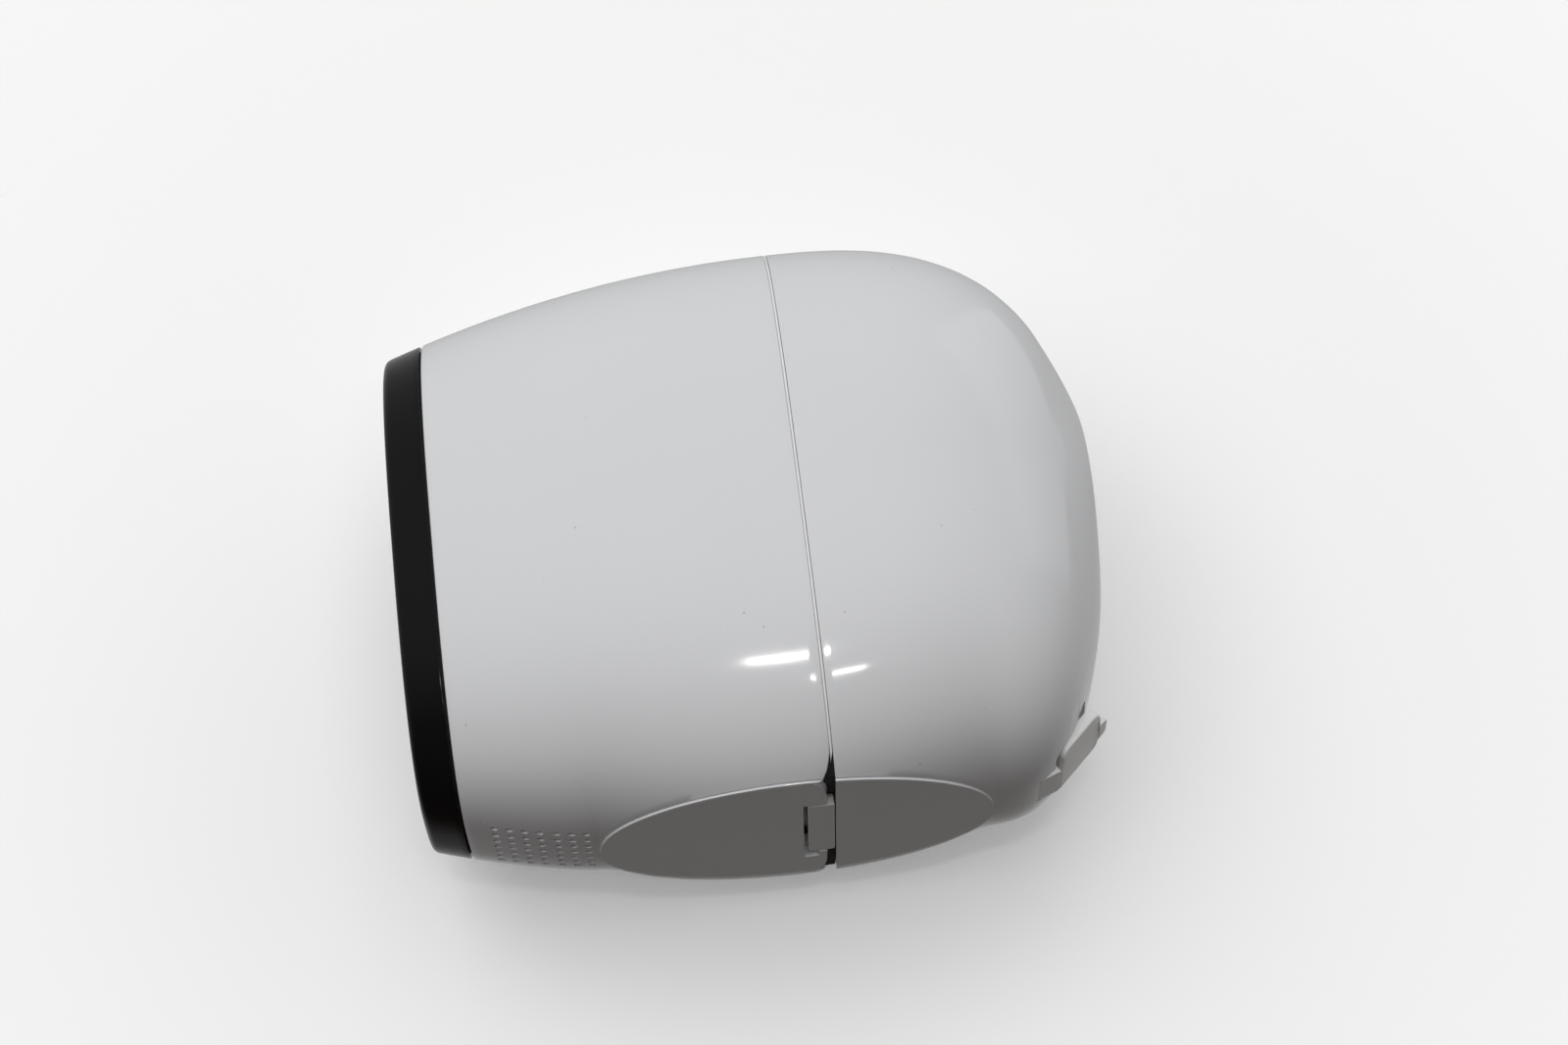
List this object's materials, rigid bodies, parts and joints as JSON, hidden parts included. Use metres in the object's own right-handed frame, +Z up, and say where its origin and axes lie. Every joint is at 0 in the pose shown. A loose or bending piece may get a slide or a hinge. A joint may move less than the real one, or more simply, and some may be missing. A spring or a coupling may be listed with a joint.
{
  "type": "wire-free security camera",
  "caption": "Egg-shaped battery security camera that stands on an oval foot, with a hinged rear battery door, a charging port under a soft cover and a rear seat for a ball mount.",
  "frame": {"origin": "on the flat foot, at the middle of the body's length and width", "axes": "-Y out of the lens face, +Y to the rear seat, +Z up, +X to the camera's own left"},
  "size_m": [0.0486, 0.0794, 0.0705],
  "materials": {
    "white_gloss": "moulded gloss",
    "black_gloss": "piano black",
    "dark_window": "polished, passes infrared",
    "black_rubber": "matte",
    "pale_rubber": "matte",
    "grey_anodised": "satin",
    "clear_glass": "polished",
    "black_matte": "matte",
    "sensor_die": "gloss",
    "milky_plastic": "milky",
    "nickel": "satin",
    "screw_steel": "zinc",
    "gold": "gold flash",
    "board_green": "solder mask",
    "cable_amber": "film",
    "connector_cream": "moulded",
    "grey_plastic": "moulded",
    "battery_black": "fine grain",
    "brass": "turned"
  },
  "bodies": {
    "camera": {"front_bezel": "black_gloss", "front_window": "dark_window", "bezel_seal": "black_rubber", "lens_ring": "grey_anodised", "lens_cover": "clear_glass", "lens_barrel": "black_matte", "front_lens": "clear_glass", "lens_holder": "black_matte", "image_sensor": "sensor_die", "pir_lens": "milky_plastic", "pir_sensor": "nickel", "infrared_leds": "sensor_die", "status_light_pipe": "milky_plastic", "light_sensor": "sensor_die", "microphone": "gold", "microphone_boot": "black_rubber", "sensor_board": "board_green", "sensor_board_screws": "screw_steel", "ribbon_cable": "cable_amber", "board_connectors": "connector_cream", "main_board": "board_green", "shield_can": "nickel", "main_board_screws": "screw_steel", "front_housing": "white_gloss", "speaker_mesh": "screw_steel", "speaker_gasket": "black_rubber", "speaker": "black_matte", "chassis": "grey_plastic", "chassis_screws": "screw_steel", "antennas": "gold", "contact_block": "black_matte", "contact_pins": "gold", "battery_pack": "battery_black", "battery_contacts": "gold", "seam_gasket": "pale_rubber", "latch_spring": "screw_steel", "sync_switch": "nickel", "usb_board": "board_green", "usb_port": "nickel", "usb_board_screws": "screw_steel", "hinge_pin": "nickel"},
    "door": {"battery_door": "white_gloss", "dish_plate": "nickel", "tripod_insert": "brass", "usb_strap": "pale_rubber"},
    "latch": {"latch_button": "white_gloss"},
    "sync": {"sync_button": "white_gloss"},
    "cover": {"usb_cover": "pale_rubber"}
  },
  "joints": [
    {"name": "door_hinge", "type": "hinge", "parent": "camera", "child": "door", "pos_m": [0, 0.00575, 0.0687], "axis": [1, 0, 0], "range_deg": [0, 80]},
    {"name": "latch_press", "type": "slide", "parent": "camera", "child": "latch", "axis": [0, 0, 1], "range_m": [0, 0.0012], "stiffness_N_per_m": 400, "springref_m": -0.0006, "deforming": ["latch_spring"]},
    {"name": "sync_press", "type": "slide", "parent": "camera", "child": "sync", "axis": [0, 0, -1], "range_m": [0, 0.0004], "stiffness_N_per_m": 600, "springref_m": -0.0003},
    {"name": "cover_fold", "type": "hinge", "parent": "door", "child": "cover", "pos_m": [0, 0.03207, 0.00297], "axis": [-1, 0, 0], "range_deg": [-12, 90], "stiffness_Nm_per_rad": 0.0008}
  ]
}
